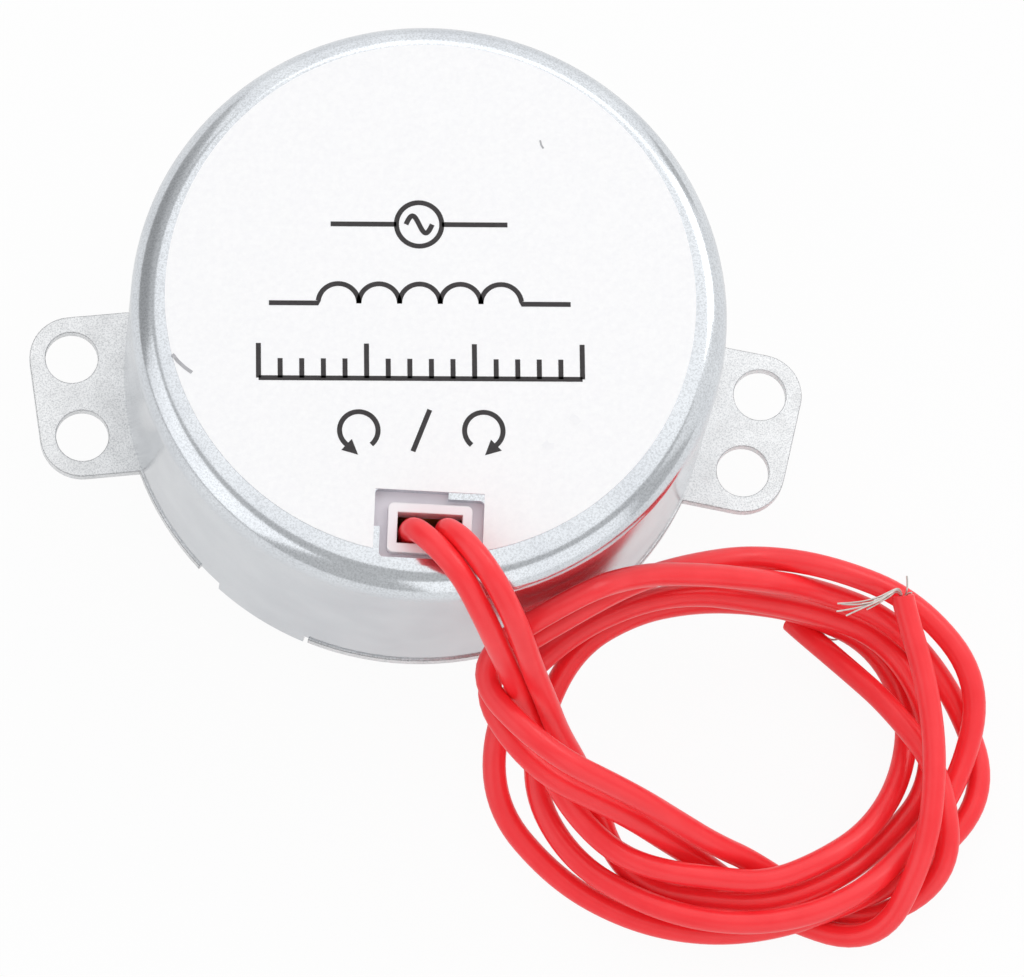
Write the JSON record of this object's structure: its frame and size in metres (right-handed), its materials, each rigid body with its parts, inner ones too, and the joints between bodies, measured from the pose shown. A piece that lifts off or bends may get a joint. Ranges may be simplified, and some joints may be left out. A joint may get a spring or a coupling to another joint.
{
  "type": "synchronous motor",
  "caption": "Round geared synchronous motor in a drawn steel can with eared front plate, D-cut output shaft and two coiled leads from a window in the rear face.",
  "frame": {"origin": "on the shaft axis, level with the mounting face of the ears, midway between the upper ear holes", "axes": "+Z towards the label face, -Z along the output shaft, +X from ear to ear, -Y towards the lead window"},
  "size_m": [0.0843, 0.0729, 0.0361],
  "materials": {
    "galvanised_steel": "satin",
    "zinc_plate": "speckled",
    "label_paper": "matte",
    "nylon_white": "satin",
    "red_insulation": "satin",
    "tinned_copper": "satin",
    "copper_winding": "satin",
    "tape_yellow": "satin",
    "ferrite": "matte",
    "gear_nylon": "satin",
    "hard_steel": "polished",
    "bush_bronze": "satin"
  },
  "bodies": {
    "housing": {"rear_can": "galvanised_steel", "rating_label": "label_paper", "front_plate": "zinc_plate", "plate_posts": "hard_steel", "pole_plate": "galvanised_steel", "coil_bobbin": "nylon_white", "coil_winding": "copper_winding", "winding_tape": "tape_yellow", "terminal_pins": "tinned_copper", "lead_outlet": "nylon_white", "rotor_spindle": "hard_steel", "spindle_washer": "gear_nylon", "gear_pins": "hard_steel", "output_bush": "bush_bronze", "thrust_washer": "gear_nylon", "lead_a_run": "red_insulation", "lead_b_run": "red_insulation", "lead_a_coil": "red_insulation", "lead_b_coil": "red_insulation", "lead_a_strands": "tinned_copper", "lead_b_strands": "tinned_copper"},
    "rotor": {"rotor_magnet": "ferrite", "rotor_hub": "gear_nylon"},
    "first_gear": {"first_gear": "gear_nylon"},
    "second_gear": {"second_gear": "gear_nylon"},
    "output": {"output_gear": "hard_steel", "output_shaft": "hard_steel"}
  },
  "joints": [
    {"name": "rotor_spin", "type": "hinge", "parent": "housing", "child": "rotor", "pos_m": [0, 0, 0.016], "axis": [0, 0, 1], "continuous": true},
    {"name": "first_gear_spin", "type": "hinge", "parent": "housing", "child": "first_gear", "pos_m": [0, 0.0105, 0.006], "axis": [0, 0, 1], "continuous": true},
    {"name": "second_gear_spin", "type": "hinge", "parent": "housing", "child": "second_gear", "pos_m": [-0.00937, 0.00576, 0.004], "axis": [0, 0, 1], "continuous": true},
    {"name": "output_spin", "type": "hinge", "parent": "housing", "child": "output", "pos_m": [0, 0, 0], "axis": [0, 0, 1], "continuous": true}
  ],
  "couplings": [
    {"joint": "first_gear_spin", "follows": "rotor_spin", "ratio": -0.4},
    {"joint": "second_gear_spin", "follows": "rotor_spin", "ratio": 0.16},
    {"joint": "output_spin", "follows": "rotor_spin", "ratio": -0.06}
  ]
}
